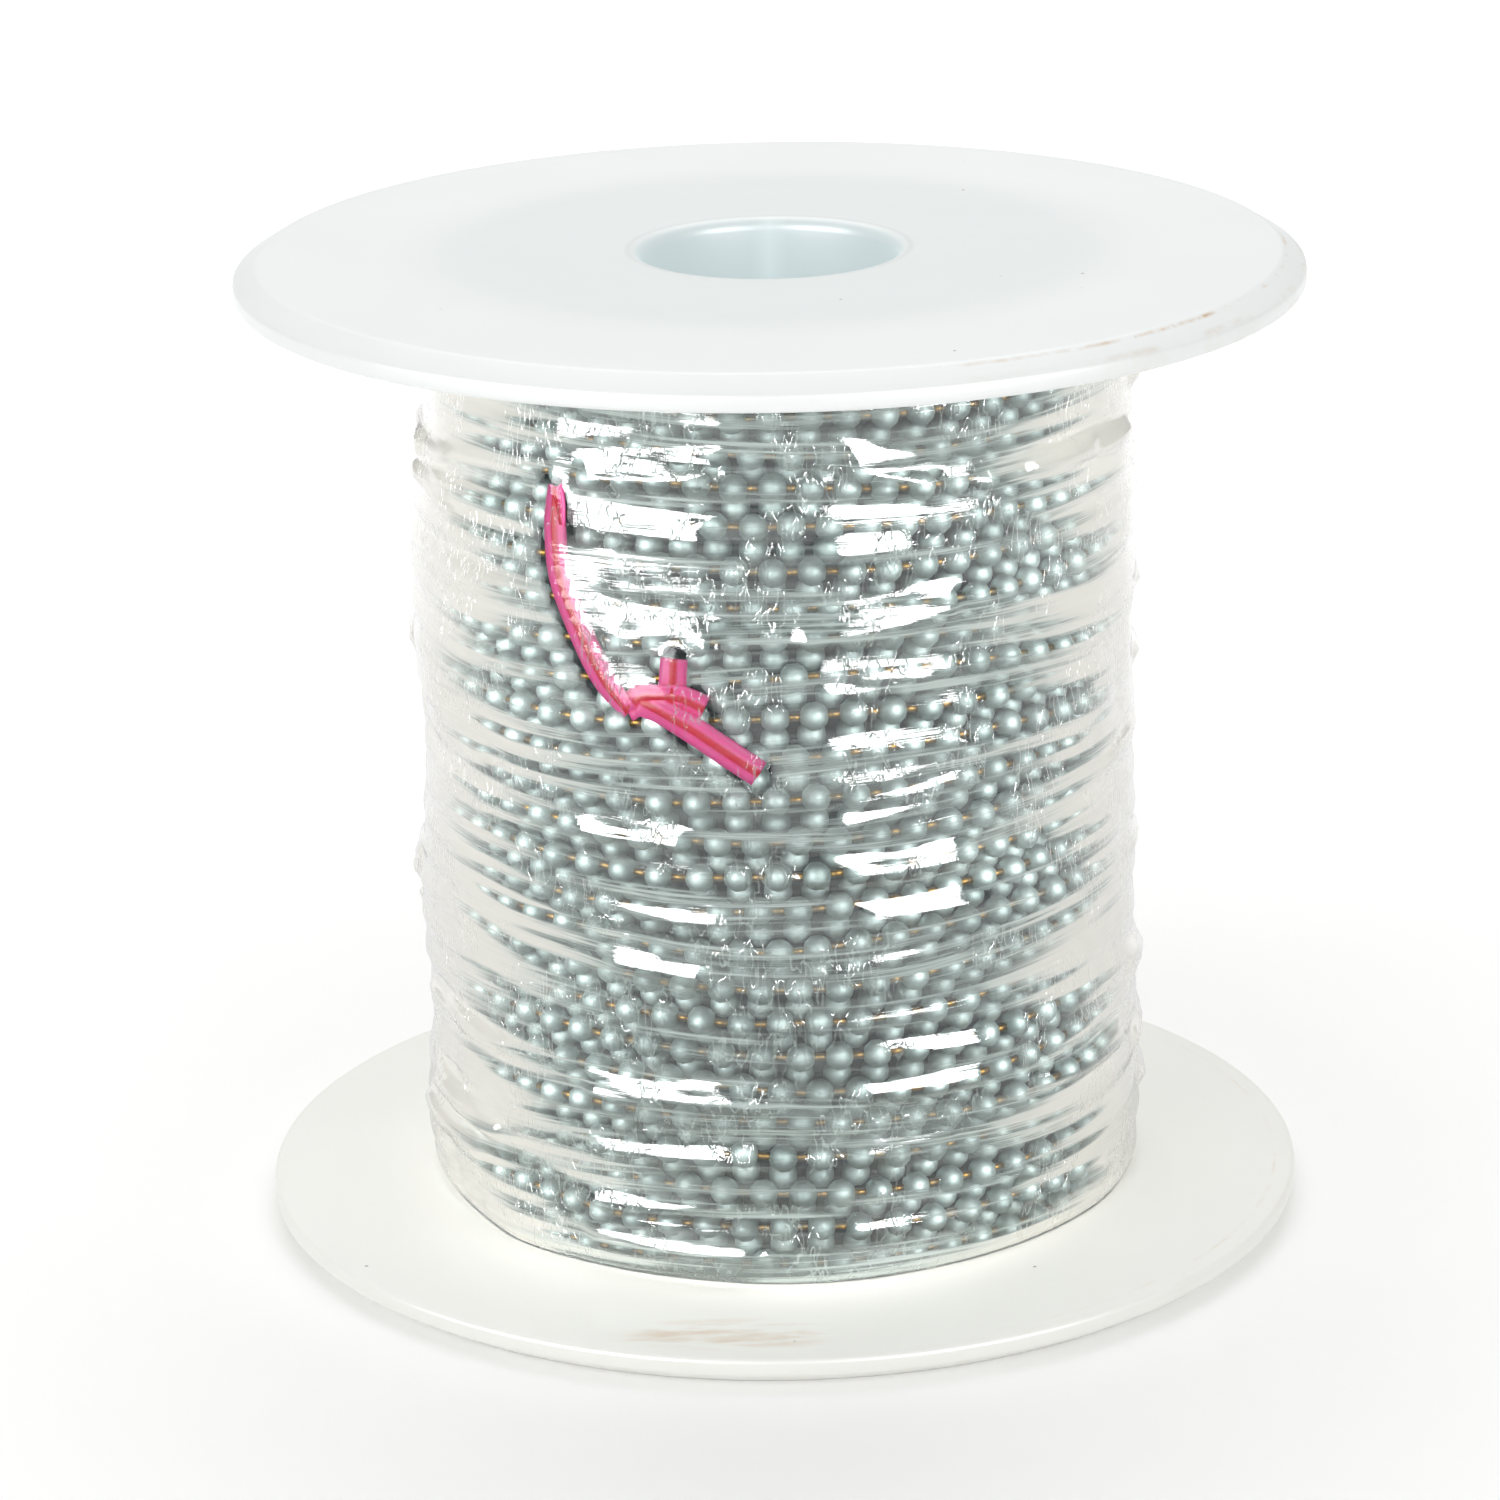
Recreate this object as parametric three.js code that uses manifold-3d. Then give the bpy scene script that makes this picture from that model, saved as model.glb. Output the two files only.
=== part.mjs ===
// Roller blind ball chain, wound full on its plastic spool, tied off and wrapped in stretch film.
// Millimetres, +Z up. The spool's axis is Z, and the origin is the centre of its underside.
import * as THREE from "three";
import { mergeVertices } from "three/addons/utils/BufferGeometryUtils.js";
import Module from "manifold-3d";

const wasm = await Module();
wasm.setup();

// Spool: two flanges on a hollow barrel, one moulding
const SPOOL_HEIGHT = 154.5;
const FLANGE_DIAMETER = 165;
const FLANGE_THICKNESS = 5;
const BEVEL_WIDTH = 3.2;
const BEVEL_HEIGHT = 2.6;
const RIM_BREAK = 0.8;
const BORE_DIAMETER = 39.6;
const BORE_LIP_RADIUS = 2;
const BARREL_WALL = 3.2;
const BARREL_ROOT = 0.5;
const SPOOL_SEGMENTS = 36;

// Chain: balls on short links, wound in rows that lie flat and climb at one place
const BALL_DIAMETER = 4.5;
const BALL_PITCH = 6;
const ROW_PITCH = 5.75;
const CLIMB_ANGLE = 50;
const LAY_START_ANGLE = 110;
const ROW_WAVE = 0.9;
const CORE_SEGMENTS = 29;

// Outline of the full winding, which the film and the tie follow
const WINDING_RADIUS = 57.6;
const SHOULDER_RADIUS = 5;
const NECK_DEPTH = 2.4;
const NECK_LENGTH = 40;
const NECK_FROM_TOP = 12;
const LEAN = 0.8;
const SWELL = 0.6;
const SWELL_LENGTH = 120;

// Film: a few turns of clear stretch film, with the air between them
const FILM_THICKNESS = 0.5;
const FILM_SEGMENTS = 30;
const FILM_STEPS = 6;
const SHOULDER_STEPS = 2;

// Tie: a flat strip with a wire in its middle, bent back and twisted round its other end
const TIE_WIDTH = 4.2;
const TIE_THICKNESS = 0.4;
const TIE_WIRE_THICKNESS = 0.8;
const TIE_ANGLE = -104;
const TIE_HEIGHT = 98;
const TIE_HOLLOW_MARGIN = 3.4;

// Clearances
const FACE_GAP = 0.35;
const FILM_GAP = 0.75;
const TIE_GAP = 0.3;

// The tie's route, as lengths round the winding and up it from the twist
const TIE_LOOP = [[-22.3, 30.5], [-21.9, 25], [-20.5, 17.5], [-16.8, 10.5], [-12.5, 3], [-8.8, -1.6]];
const TIE_RETURN = [[-8.8, -1.6], [-6.5, 0.6], [-3.7, 1.2], [-0.6, 1.2], [3, 0.2]];
const TIE_STUB = [[-2.2, 0.8], [-1.7, 7.1]];
const TIE_TAIL = [[-6.9, 0.3], [-4.1, -0.7], [0.8, -3.3], [5.2, -6.2], [11.2, -10.2]];

const TURN = 2 * Math.PI;
const lowFace = FLANGE_THICKNESS;
const highFace = SPOOL_HEIGHT - FLANGE_THICKNESS;
const barrelRadius = BORE_DIAMETER / 2 + BARREL_WALL;
const tieHeightOverBalls = TIE_THICKNESS + TIE_WIRE_THICKNESS;

const clamp = (value) => Math.min(1, Math.max(0, value));
const smooth = (value) => clamp(value) ** 2 * (3 - 2 * clamp(value));
const radians = THREE.MathUtils.degToRad;

// Distance from the nearer flange's inner face
function fromFlange(height) {
  return Math.max(0, Math.min(height - lowFace, highFace - height));
}

// How far the rounded shoulder at each end of the winding falls back from its side
function shoulderDrop(height) {
  const inside = Math.max(0, SHOULDER_RADIUS - fromFlange(height));
  return SHOULDER_RADIUS - Math.sqrt(SHOULDER_RADIUS ** 2 - inside ** 2);
}

// Radius inside the film: a side that swells a little, with a narrower neck and two round shoulders
function windingRadius(angle, height) {
  const neck = smooth(1 + (height - highFace + NECK_FROM_TOP) / NECK_LENGTH);
  const swell = SWELL * Math.cos(TURN * (height - lowFace) / SWELL_LENGTH + 2 * angle);
  const lean = LEAN * neck * Math.cos(angle);
  return WINDING_RADIUS + swell + lean - NECK_DEPTH * neck - shoulderDrop(height);
}

const curveOf = (route) => new THREE.SplineCurve(route.map(([along, up]) => new THREE.Vector2(along, up)));
const tieRoutes = [TIE_LOOP, TIE_RETURN, TIE_STUB, TIE_TAIL];
const tieSamples = tieRoutes.flatMap((route) => curveOf(route).getPoints(24));

// How far the chain is pressed in under the tie
function tieHollow(angle, height) {
  const turned = angle - radians(TIE_ANGLE);
  const around = Math.atan2(Math.sin(turned), Math.cos(turned));
  const here = new THREE.Vector2(around * WINDING_RADIUS, height - TIE_HEIGHT);
  const nearest = Math.min(...tieSamples.map((sample) => sample.distanceTo(here)));
  const beside = clamp((nearest - TIE_WIDTH / 2 - TIE_GAP) / TIE_HOLLOW_MARGIN);
  return (tieHeightOverBalls + TIE_GAP) * (1 - beside);
}

// Radius that the outer sides of the balls reach
function ballTop(angle, height) {
  return windingRadius(angle, height) - FILM_GAP - tieHollow(angle, height);
}

function polar(radius, angle, height) {
  return new THREE.Vector3(radius * Math.cos(angle), radius * Math.sin(angle), height);
}

function meshOf(name, geometry, material) {
  const mesh = new THREE.Mesh(geometry, new THREE.MeshStandardMaterial(material));
  mesh.name = name;
  return mesh;
}

function geometryOf(vertices, faces) {
  const geometry = new THREE.BufferGeometry();
  geometry.setAttribute("position", new THREE.Float32BufferAttribute(vertices.flatMap((v) => [...v]), 3));
  geometry.setIndex(faces.flat());
  geometry.computeVertexNormals();
  return geometry;
}

// Section of one flange and half the barrel, from the barrel round the rim and back to the bore
function halfSection() {
  const half = SPOOL_HEIGHT / 2;
  const rim = FLANGE_DIAMETER / 2;
  const lip = BORE_DIAMETER / 2 + BORE_LIP_RADIUS;
  const inner = half - FLANGE_THICKNESS;
  const section = new THREE.Path();
  section.moveTo(barrelRadius, inner - BARREL_ROOT);
  section.lineTo(barrelRadius + BARREL_ROOT, inner);
  section.lineTo(rim - RIM_BREAK, inner);
  section.lineTo(rim, inner + RIM_BREAK);
  section.lineTo(rim, half - BEVEL_HEIGHT);
  section.lineTo(rim - BEVEL_WIDTH, half);
  section.absarc(lip, half - BORE_LIP_RADIUS, BORE_LIP_RADIUS, Math.PI / 2, Math.PI, false);
  return section.getPoints(2);
}

function spool() {
  const upper = halfSection();
  const lower = upper.map((point) => new THREE.Vector2(point.x, -point.y)).reverse();
  const geometry = new THREE.LatheGeometry([...lower, ...upper, lower[0]], SPOOL_SEGMENTS);
  geometry.rotateX(Math.PI / 2);
  geometry.translate(0, 0, SPOOL_HEIGHT / 2);
  return meshOf("spool", geometry, { color: 0xf1f4f2, roughness: 0.4, metalness: 0 });
}

// Rows climbed after a number of turns: each row lies flat, then climbs to the next
function lay(turns) {
  const row = Math.floor(turns);
  const climb = CLIMB_ANGLE / 360;
  return row + smooth((turns - row - 1 + climb) / climb);
}

// Sizes of the winding's outer turns, with half a ball over each turn so that the rows interlock
function layOut() {
  const ballCircle = WINDING_RADIUS - FILM_GAP - BALL_DIAMETER / 2;
  const perTurn = Math.round(TURN * ballCircle / BALL_PITCH) + 0.5;
  const rows = Math.round((highFace - lowFace) / ROW_PITCH);
  const count = Math.floor((rows - CLIMB_ANGLE / 360) * perTurn) + 1;
  return { perTurn, count, rowPitch: (highFace - lowFace) / rows };
}

// Angle and height of one ball's centre along the outer turns
function ballPlace(index, { perTurn, rowPitch }) {
  const angle = radians(LAY_START_ANGLE) + TURN * index / perTurn;
  const height = lowFace + rowPitch * (lay(index / perTurn) + 0.5);
  const loose = clamp(fromFlange(height) / (4 * rowPitch) - 0.25);
  return { angle, height: height + loose * ROW_WAVE * Math.sin(3 * angle + height / (3 * rowPitch)) };
}

// Gives each ball a peak and each three balls a valley at their middles, with six faces round each peak
function ballField(vertices, faces, sizes) {
  const next = Math.ceil(sizes.perTurn);
  for (let index = 0; index < sizes.count; index += 1) {
    const { angle, height } = ballPlace(index, sizes);
    vertices.push(polar(ballTop(angle, height), angle, height));
  }
  const valleys = new Map();
  const addValley = (corners) => {
    const middle = new THREE.Vector3();
    corners.forEach((corner) => middle.addScaledVector(vertices[corner], 1 / 3));
    const angle = Math.atan2(middle.y, middle.x);
    vertices.push(polar(ballTop(angle, middle.z) - BALL_DIAMETER / 2, angle, middle.z));
    corners.forEach((from, side) => {
      valleys.set(`${from},${corners[(side + 1) % 3]}`, { from, to: corners[(side + 1) % 3],
        valley: vertices.length - 1 });
    });
  };
  for (let index = 0; index + next < sizes.count; index += 1) {
    addValley([index, index + 1, index + next]);
    addValley([index, index + next, index + next - 1]);
  }
  for (const { from, to, valley } of valleys.values()) {
    const across = valleys.get(`${to},${from}`);
    faces.push(across ? [from, across.valley, valley] : [from, to, valley]);
  }
}

// Fills the flat ring between two circles of vertices, each in order of angle, facing up
function ringFaces(outer, inner) {
  const start = outer[0].angle;
  const turned = ({ vertex, angle }) => ({ vertex, angle: start + ((angle - start) % TURN + TURN) % TURN });
  const circle = inner.map(turned).sort((a, b) => a.angle - b.angle);
  const faces = [];
  const angleAt = (ring, index) => {
    if (index > ring.length) return Infinity;
    return index === ring.length ? ring[0].angle + TURN : ring[index].angle;
  };
  let out = 0;
  let back = 0;
  while (out < outer.length || back < circle.length) {
    const here = outer[out % outer.length].vertex;
    const there = circle[back % circle.length].vertex;
    if (angleAt(outer, out + 1) <= angleAt(circle, back + 1)) {
      out += 1;
      faces.push([here, outer[out % outer.length].vertex, there]);
    } else {
      back += 1;
      faces.push([here, circle[back % circle.length].vertex, there]);
    }
  }
  return faces;
}

// Closes one end of the winding, from its first or last turn to the hole; returns the hole's circle
function endFaces(vertices, faces, sizes, first, height, facesUp) {
  const turn = Math.ceil(sizes.perTurn);
  const flip = ([a, b, c]) => (facesUp ? [a, b, c] : [c, b, a]);
  const edge = Array.from({ length: turn }, (_, step) => {
    const { angle } = ballPlace(first + step, sizes);
    vertices.push(polar(ballTop(angle, height), angle, height));
    return { vertex: vertices.length - 1, angle };
  });
  for (let step = 0; step < turn; step += 1) {
    const after = (step + 1) % turn;
    faces.push(flip([first + step, first + after, edge[after].vertex]));
    faces.push(flip([first + step, edge[after].vertex, edge[step].vertex]));
  }
  const hole = Array.from({ length: CORE_SEGMENTS }, (_, step) => {
    const angle = TURN * step / CORE_SEGMENTS;
    vertices.push(polar(barrelRadius + BARREL_ROOT, angle, height));
    return { vertex: vertices.length - 1, angle };
  });
  ringFaces(edge, hole).forEach((face) => faces.push(flip(face)));
  return hole.map(({ vertex }) => vertex);
}

function woundChain() {
  const sizes = layOut();
  const vertices = [];
  const faces = [];
  ballField(vertices, faces, sizes);
  const last = sizes.count - Math.ceil(sizes.perTurn);
  const low = endFaces(vertices, faces, sizes, 0, lowFace + FACE_GAP, false);
  const high = endFaces(vertices, faces, sizes, last, highFace - FACE_GAP, true);
  low.forEach((corner, step) => {
    const after = (step + 1) % CORE_SEGMENTS;
    faces.push([corner, high[step], high[after]], [corner, high[after], low[after]]);
  });
  const material = { color: 0x98a5a2, roughness: 0.3, metalness: 0.85 };
  return meshOf("wound_chain", geometryOf(vertices, faces), material);
}

// Distances from the flange at which the film's side has points: round the shoulder, then up the side
function filmHeights() {
  const firstTurn = Math.acos(1 - FACE_GAP / SHOULDER_RADIUS);
  const shoulder = Array.from({ length: SHOULDER_STEPS }, (_, step) => {
    const turned = firstTurn + (Math.PI / 2 - firstTurn) * step / SHOULDER_STEPS;
    return SHOULDER_RADIUS * (1 - Math.cos(turned));
  });
  const straight = highFace - lowFace - 2 * SHOULDER_RADIUS;
  const side = Array.from({ length: FILM_STEPS + 1 }, (_, step) =>
    lowFace + SHOULDER_RADIUS + straight * step / FILM_STEPS);
  return [
    ...shoulder.map((rise) => lowFace + rise),
    ...side,
    ...shoulder.map((rise) => highFace - rise).reverse(),
  ];
}

// A revolved wall whose points then move in or out to the winding's own radius at their place
function stretchFilm() {
  const heights = filmHeights();
  const outside = heights.map((height) => new THREE.Vector2(WINDING_RADIUS + FILM_THICKNESS, height));
  const inside = heights.map((height) => new THREE.Vector2(WINDING_RADIUS, height)).reverse();
  const geometry = new THREE.LatheGeometry([...outside, ...inside, outside[0]], FILM_SEGMENTS);
  geometry.rotateX(Math.PI / 2);
  const points = geometry.attributes.position;
  for (let index = 0; index < points.count; index += 1) {
    const point = new THREE.Vector3().fromBufferAttribute(points, index);
    const height = Math.round(point.z * 1e6) / 1e6;
    const angle = Math.atan2(point.y, point.x);
    const radius = Math.hypot(point.x, point.y) - WINDING_RADIUS + windingRadius(angle, height);
    points.setXYZ(index, radius * Math.cos(angle), radius * Math.sin(angle), height);
  }
  const material = { color: 0xeef1ef, roughness: 0.15, metalness: 0, transparent: true, opacity: 0.3 };
  return meshOf("stretch_film", geometry, material);
}

// A strip along a route on the unrolled winding, its back ridged over its wire, raised by its base
function strip(route, base) {
  const half = TIE_WIDTH / 2;
  const section = new THREE.Shape();
  section.moveTo(0, -half);
  section.lineTo(-TIE_THICKNESS, -half);
  section.lineTo(-TIE_WIRE_THICKNESS, 0);
  section.lineTo(-TIE_THICKNESS, half);
  section.lineTo(0, half);
  const path = new THREE.CatmullRomCurve3(route.map(([along, up]) => new THREE.Vector3(along, up, 0)));
  const steps = Math.ceil(path.getLength() / TIE_WIDTH);
  return new THREE.ExtrudeGeometry(section, { steps, extrudePath: path }).translate(0, 0, base);
}

// Lays a strip's flat geometry on the winding, where x runs round it, y up it and z outwards
function laidOnWinding(geometry) {
  const points = geometry.attributes.position;
  for (let index = 0; index < points.count; index += 1) {
    const angle = radians(TIE_ANGLE) + points.getX(index) / WINDING_RADIUS;
    const height = TIE_HEIGHT + points.getY(index);
    const bed = windingRadius(angle, height) - FILM_GAP - tieHeightOverBalls;
    points.setXYZ(index, ...polar(bed + points.getZ(index), angle, height));
  }
  return geometry;
}

function solidOf(geometry) {
  geometry.deleteAttribute("normal");
  geometry.deleteAttribute("uv");
  const merged = mergeVertices(geometry, 1e-4);
  return new wasm.Manifold(new wasm.Mesh({
    numProp: 3,
    vertProperties: new Float32Array(merged.attributes.position.array),
    triVerts: new Uint32Array(merged.index.array),
  }));
}

function geometryOfSolid(solid) {
  const { vertProperties, triVerts } = solid.getMesh();
  const geometry = new THREE.BufferGeometry();
  geometry.setAttribute("position", new THREE.BufferAttribute(vertProperties, 3));
  geometry.setIndex(new THREE.BufferAttribute(triVerts, 1));
  geometry.computeVertexNormals();
  return geometry;
}

// The loop and its return lie on the chain, and the stub and the tail cross over them at the twist
function twistTie() {
  const flat = [TIE_LOOP, TIE_RETURN].map((route) => strip(route, 0));
  const crossing = [TIE_STUB, TIE_TAIL].map((route) => strip(route, TIE_THICKNESS));
  const solids = [...flat, ...crossing].map((geometry) => solidOf(laidOnWinding(geometry)));
  const whole = solids.reduce((joined, solid) => joined.add(solid));
  const material = { color: 0xe23a72, roughness: 0.35, metalness: 0 };
  return meshOf("twist_tie", geometryOfSolid(whole), material);
}

const part = new THREE.Group();
part.add(spool(), woundChain(), twistTie(), stretchFilm());

export default part;
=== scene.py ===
"""Dresses a full spool of roller blind ball chain: moulded spool, nickel balls, brass links, tie and film."""
import math

import bmesh
import bpy
import numpy as np
from bpy.props import FloatProperty, FloatVectorProperty, IntProperty, PointerProperty
from mathutils import Matrix, Vector


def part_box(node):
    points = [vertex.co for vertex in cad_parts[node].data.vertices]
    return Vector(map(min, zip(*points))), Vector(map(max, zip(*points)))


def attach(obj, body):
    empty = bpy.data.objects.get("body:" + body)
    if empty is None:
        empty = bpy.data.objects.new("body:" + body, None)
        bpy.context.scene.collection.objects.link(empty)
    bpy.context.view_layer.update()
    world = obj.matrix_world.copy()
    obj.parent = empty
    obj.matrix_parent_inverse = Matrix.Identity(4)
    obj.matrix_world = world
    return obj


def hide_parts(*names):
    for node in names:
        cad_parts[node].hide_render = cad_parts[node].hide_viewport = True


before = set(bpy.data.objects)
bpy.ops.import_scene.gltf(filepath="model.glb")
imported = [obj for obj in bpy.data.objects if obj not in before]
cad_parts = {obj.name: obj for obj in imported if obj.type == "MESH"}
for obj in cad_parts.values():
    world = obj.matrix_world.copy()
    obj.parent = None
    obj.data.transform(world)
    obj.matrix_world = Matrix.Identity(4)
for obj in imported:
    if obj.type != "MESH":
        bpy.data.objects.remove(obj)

bl_info = {
    "name": "Ball chain spool",
    "version": (1, 0, 0),
    "blender": (4, 5, 0),
    "location": "View3D > Sidebar > Spool",
    "description": "Builds a wrapped spool of roller blind ball chain round its CAD model",
    "category": "Object",
}

MM = 0.001
TURN = 2 * math.pi
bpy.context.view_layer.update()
SPOOL_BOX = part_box("spool")
CHAIN_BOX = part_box("wound_chain")
SPOOL_HEIGHT = SPOOL_BOX[1].z
FLANGE_RADIUS = SPOOL_BOX[1].x
FACE_GAP = 0.35 * MM
LOW_FACE = CHAIN_BOX[0].z - FACE_GAP
HIGH_FACE = CHAIN_BOX[1].z + FACE_GAP


def linear(code):
    """Linear red, green and blue of an sRGB hex colour."""
    shares = (int(code[i:i + 2], 16) / 255 for i in (0, 2, 4))
    return tuple(c / 12.92 if c <= 0.04045 else ((c + 0.055) / 1.055) ** 2.4 for c in shares)


def length(name, description, default, **more):
    return FloatProperty(name=name, description=description, default=default, unit="LENGTH", precision=5,
                         **more)


def colour(name, description, code):
    return FloatVectorProperty(name=name, description=description, default=linear(code), subtype="COLOR",
                               min=0, max=1)


class SpoolSettings(bpy.types.PropertyGroup):
    """Sizes and colours of the moulded spool."""
    bevel_width: length("Bevel width", "How far the flange's outer face is bevelled in", 3.2 * MM)
    bevel_height: length("Bevel height", "Depth of the bevel on the flange's outer face", 2.6 * MM)
    bore_radius: length("Bore radius", "Radius of the hole through the barrel", 19.8 * MM)
    lip_radius: length("Lip radius", "Rounding where the bore meets the flange", 2 * MM)
    barrel_wall: length("Barrel wall", "Thickness of the barrel", 3.2 * MM)
    barrel_root: length("Barrel root", "Small slope where the barrel meets the flanges", 0.5 * MM)
    upper: colour("Upper flange", "Colour of the upper half", "F6F9F8")
    # The lower half is a little yellowed, and also painted a little lighter to offset the upper flange's shadow
    # on it
    lower: colour("Lower flange", "Colour of the lower half, a little yellowed", "F8F8F3")
    # The colour over the winding is painted shade, where the dark chain lies under the translucent flange
    shaded: colour("Over the winding", "Colour where the chain shows through the flange", "E3E9E8")
    # The bore colour is painted shade inside the barrel, where the chain behind the wall darkens it
    bore: colour("Bore", "Colour inside the barrel, where the chain darkens it", "C8D1D2")
    grime: colour("Grime", "Colour of the brown marks on the rims", "C9A068")
    dust: colour("Dust", "Colour of the dark specks", "6E6660")


class ChainSettings(bpy.types.PropertyGroup):
    """Sizes and colours of the ball chain and how it is wound."""
    ball: length("Ball", "Diameter of one ball", 4.5 * MM)
    pitch: length("Pitch", "Distance from ball to ball along the chain", 6 * MM)
    link: length("Link", "Diameter of the link between two balls", 1.25 * MM)
    row_pitch: length("Row pitch", "Height of one row of the winding", 5.75 * MM)
    nickel: colour("Nickel", "Plating of the balls", "BCC6C4")
    brass: colour("Brass", "Links between the balls", "8E6C34")
    # The shadow colour is painted shade: the deep turns are a plain dark core, not balls
    shadow: colour("Shadow", "The deep turns under the two outer layers", "30424F")


class TieSettings(bpy.types.PropertyGroup):
    """Sizes and colours of the twist tie."""
    width: length("Width", "Width of the flat strip", 4.2 * MM)
    wire: length("Wire", "Thickness over the wire", 0.9 * MM)
    edge: colour("Edge", "Colour of the flat plastic edges", "F84E9A")
    core: colour("Core", "Colour over the wire", "DC0034")


class FilmSettings(bpy.types.PropertyGroup):
    """Sizes and colours of the stretch film."""
    around: IntProperty(name="Around", description="Faces round the film", default=320, min=48)
    up: IntProperty(name="Up", description="Faces up the film's side", default=260, min=24)
    ridge: length("Ridge", "How far the film sags back between two rows of chain", 1.35 * MM)
    milk: colour("Milk", "Colour of the film at the edges, where it is seen through many layers", "F3F0E7")
    cloud: colour("Cloud", "Colour of the film in front, where its layers bunch", "BCCAC6")
    tint: colour("Tint", "Colour of what is seen through the film", "F6FAF9")


def smooth(value):
    value = np.clip(value, 0, 1)
    return value * value * (3 - 2 * value)


def waves(angle, height, seed, across, along):
    """A smooth wandering value from about -1 to 1, with the given lengths round the winding and up it."""
    draw = np.random.default_rng(seed)
    value = 0
    for _ in range(7):
        turns = round(draw.uniform(0.25, 1) * TURN * WINDING_RADIUS / across)
        rise = draw.uniform(0.3, 1) * draw.choice((-1, 1)) * TURN / along
        value = value + np.cos(turns * angle + rise * height + draw.uniform(0, TURN)) * draw.uniform(0.5, 1)
    return value / 3.2


# Outline of the full winding, as in the part's source
WINDING_RADIUS = 57.6 * MM
SHOULDER_RADIUS = 5 * MM
NECK_DEPTH = 2.4 * MM
NECK_LENGTH = 40 * MM
NECK_FROM_TOP = 12 * MM
LEAN = 0.8 * MM
SWELL = 0.6 * MM
SWELL_LENGTH = 120 * MM
FILM_GAP = 0.75 * MM
FILM_THICKNESS = 0.15 * MM
CLIMB = 50 / 360
LAY_START = math.radians(110)
ROW_WAVE = 0.9 * MM

# How far rows bunch, how deep rows and soft patches sink, the second layer's depth, and how far balls stray
BUNCHING = 0.8 * MM
ROW_SINK = 0.75 * MM
PATCH_SINK = 1.5 * MM
UNDER_DEPTH = 2.9 * MM
BALL_STRAY = 0.12 * MM
# Radius from the film in to the dark core, a plain sheet in painted shade that stands for the deep turns
CORE_DEPTH = 10.5 * MM
# How far balls under the tie are pressed in, from how near its middle line, easing out over what width
PRESS_DEPTH = 1.35 * MM
PRESS_NEAR = 1.2 * MM
PRESS_EASE = 2.6 * MM
# Share of the nickel's red, green and blue in the darkest balls
NICKEL_DARK = (0.52, 0.55, 0.55)
# Brown smear in front on the lower flange: its middle, then half its length and width
SMEAR_PLACE = (-9 * MM, -73 * MM)
SMEAR_HALF = (17 * MM, 6 * MM)

# Places where the winding bulges or is drawn in: angle, height, spread, and how far out
LUMPS = (
    (183, 108, 9, 1.0), (184, 52, 10, 1.2), (181, 83, 9, -0.8), (186, 139, 8, -0.8),
    (-8, 139, 8, 1.3), (-20, 128, 7, 0.7), (-4, 62, 12, 0.5), (-70, 88, 14, 0.4),
)


def from_flange(height):
    return np.maximum(0, np.minimum(height - LOW_FACE, HIGH_FACE - height))


def lumps(angle, height):
    """How far the winding bulges or is drawn in."""
    out = 0
    for degrees, up, spread, far in LUMPS:
        around = (np.mod(angle - math.radians(degrees) + math.pi, TURN) - math.pi) * WINDING_RADIUS
        near = np.exp(-(around ** 2 + (height - up * MM) ** 2) / (spread * MM) ** 2)
        out = out + near * far * MM
    return out * smooth(from_flange(height) / (4 * MM))


def winding_radius(angle, height):
    """Radius inside the film."""
    neck = smooth(1 + (height - HIGH_FACE + NECK_FROM_TOP) / NECK_LENGTH)
    swell = SWELL * np.cos(TURN * (height - LOW_FACE) / SWELL_LENGTH + 2 * angle)
    inside = np.maximum(0, SHOULDER_RADIUS - from_flange(height))
    drop = SHOULDER_RADIUS - np.sqrt(SHOULDER_RADIUS ** 2 - inside ** 2)
    leant = WINDING_RADIUS + swell + LEAN * neck * np.cos(angle)
    return leant - NECK_DEPTH * neck - drop + lumps(angle, height)


def row_pitch():
    rows = round((HIGH_FACE - LOW_FACE) / bpy.context.scene.chain_settings.row_pitch)
    return (HIGH_FACE - LOW_FACE) / rows


def climbed(angle):
    """Share of a row that the chain has climbed at an angle: nothing until the short climb."""
    turned = np.mod((angle - LAY_START) / TURN, 1)
    return smooth((turned - 1 + CLIMB) / CLIMB)


def wander(angle, height):
    """How far a row strays up or down from its even place."""
    pitch = row_pitch()
    loose = np.clip(from_flange(height) / (3 * pitch) - 0.2, 0, 1)
    even = ROW_WAVE * np.sin(3 * angle + height / (3 * pitch))
    bunched = BUNCHING * waves(angle, height, 3, 110 * MM, 19 * MM)
    return loose * (even + bunched)


def sunk(angle, height):
    """How far the outer row lies below its full radius, row by row and in soft patches."""
    each = ROW_SINK * smooth(0.5 + 0.6 * waves(angle, height, 5, 60 * MM, 12 * MM))
    patch = PATCH_SINK * smooth(1.5 * waves(angle, height, 8, 60 * MM, 24 * MM) - 0.5)
    return each + patch


def row_height(angle, row):
    """Height of a numbered row where it passes an angle."""
    even = LOW_FACE + row_pitch() * (row + climbed(angle) + 0.5)
    return even + wander(angle, even)


def row_crest(angle, row, ball):
    """Radius of the outer faces of the balls in a numbered row."""
    height = np.clip(row_height(angle, row), LOW_FACE + ball / 2, HIGH_FACE - ball / 2)
    return winding_radius(angle, height) - FILM_GAP - sunk(angle, height)


def add(tree, kind, sockets=None, **settings):
    """Adds a node with its settings, and fills or links its sockets by name or number."""
    node = tree.nodes.new("ShaderNode" + kind)
    for name, value in settings.items():
        setattr(node, name, value)
    for name, value in (sockets or {}).items():
        if isinstance(value, bpy.types.NodeSocket):
            tree.links.new(value, node.inputs[name])
        else:
            node.inputs[name].default_value = value
    return node


def new_material(name):
    """A node material with nothing in it yet but the place on the object."""
    material = bpy.data.materials.new(name)
    material.use_nodes = True
    tree = material.node_tree
    tree.nodes.clear()
    return material, tree, add(tree, "TexCoord").outputs["Object"]


def opaque(shade):
    return (*shade, 1)


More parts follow.
